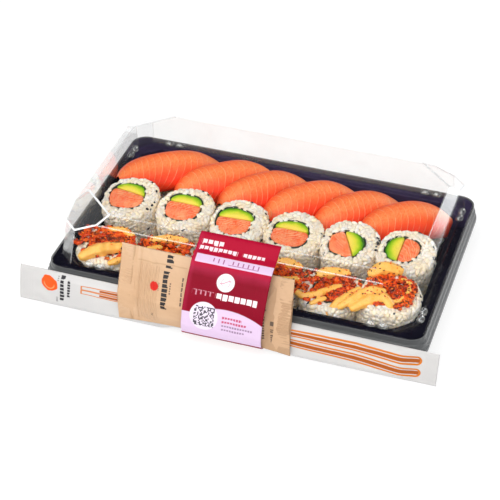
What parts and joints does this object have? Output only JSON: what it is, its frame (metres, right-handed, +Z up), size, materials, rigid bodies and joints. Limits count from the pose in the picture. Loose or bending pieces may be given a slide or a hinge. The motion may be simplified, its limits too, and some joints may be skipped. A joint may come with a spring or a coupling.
{
  "type": "takeaway sushi tray",
  "caption": "Black takeaway tray with a clear faceted lid, holding salmon nigiri and rice rolls, with a printed band, sauce sachet and chopsticks packet on its front.",
  "frame": {"origin": "middle of the bounding box at its base, on the table", "axes": "+X along the tray's long side to the right, +Y from the printed band at the front to the back, +Z up"},
  "size_m": [0.26, 0.1794, 0.0566],
  "materials": {
    "black_plastic": "glossy moulded plastic",
    "clear_plastic": "clear glossy plastic",
    "rice": "cooked sushi rice with sesame, moist",
    "nori": "moist seaweed sheet",
    "avocado": "ripe avocado, green at the skin side, yellow inside",
    "salmon": "raw salmon with pale fat lines, moist",
    "spicy_topping": "spicy mayonnaise with red chilli seasoning",
    "white_film": "white printed film",
    "kraft_film": "kraft-coloured printed film",
    "crimson_label": "printed paper band, satin"
  },
  "bodies": {
    "root": {"chopsticks_packet": "white_film", "dressed_roll_1_nori": "nori", "dressed_roll_1_rice": "rice", "dressed_roll_1_topping": "spicy_topping", "dressed_roll_2_nori": "nori", "dressed_roll_2_rice": "rice", "dressed_roll_2_topping": "spicy_topping", "dressed_roll_3_nori": "nori", "dressed_roll_3_rice": "rice", "dressed_roll_3_topping": "spicy_topping", "dressed_roll_4_nori": "nori", "dressed_roll_4_rice": "rice", "dressed_roll_4_topping": "spicy_topping", "dressed_roll_5_nori": "nori", "dressed_roll_5_rice": "rice", "dressed_roll_5_topping": "spicy_topping", "dressed_roll_6_nori": "nori", "dressed_roll_6_rice": "rice", "dressed_roll_6_topping": "spicy_topping", "label": "crimson_label", "lid": "clear_plastic", "nigiri_1_rice": "rice", "nigiri_1_salmon": "salmon", "nigiri_2_rice": "rice", "nigiri_2_salmon": "salmon", "nigiri_3_rice": "rice", "nigiri_3_salmon": "salmon", "nigiri_4_rice": "rice", "nigiri_4_salmon": "salmon", "nigiri_5_rice": "rice", "nigiri_5_salmon": "salmon", "nigiri_6_rice": "rice", "nigiri_6_salmon": "salmon", "roll_1_avocado": "avocado", "roll_1_nori": "nori", "roll_1_rice": "rice", "roll_1_salmon": "salmon", "roll_2_avocado": "avocado", "roll_2_nori": "nori", "roll_2_rice": "rice", "roll_2_salmon": "salmon", "roll_3_avocado": "avocado", "roll_3_nori": "nori", "roll_3_rice": "rice", "roll_3_salmon": "salmon", "roll_4_avocado": "avocado", "roll_4_nori": "nori", "roll_4_rice": "rice", "roll_4_salmon": "salmon", "roll_5_avocado": "avocado", "roll_5_nori": "nori", "roll_5_rice": "rice", "roll_5_salmon": "salmon", "roll_6_avocado": "avocado", "roll_6_nori": "nori", "roll_6_rice": "rice", "roll_6_salmon": "salmon", "sauce_sachet": "kraft_film", "tray": "black_plastic"}
  },
  "joints": []
}
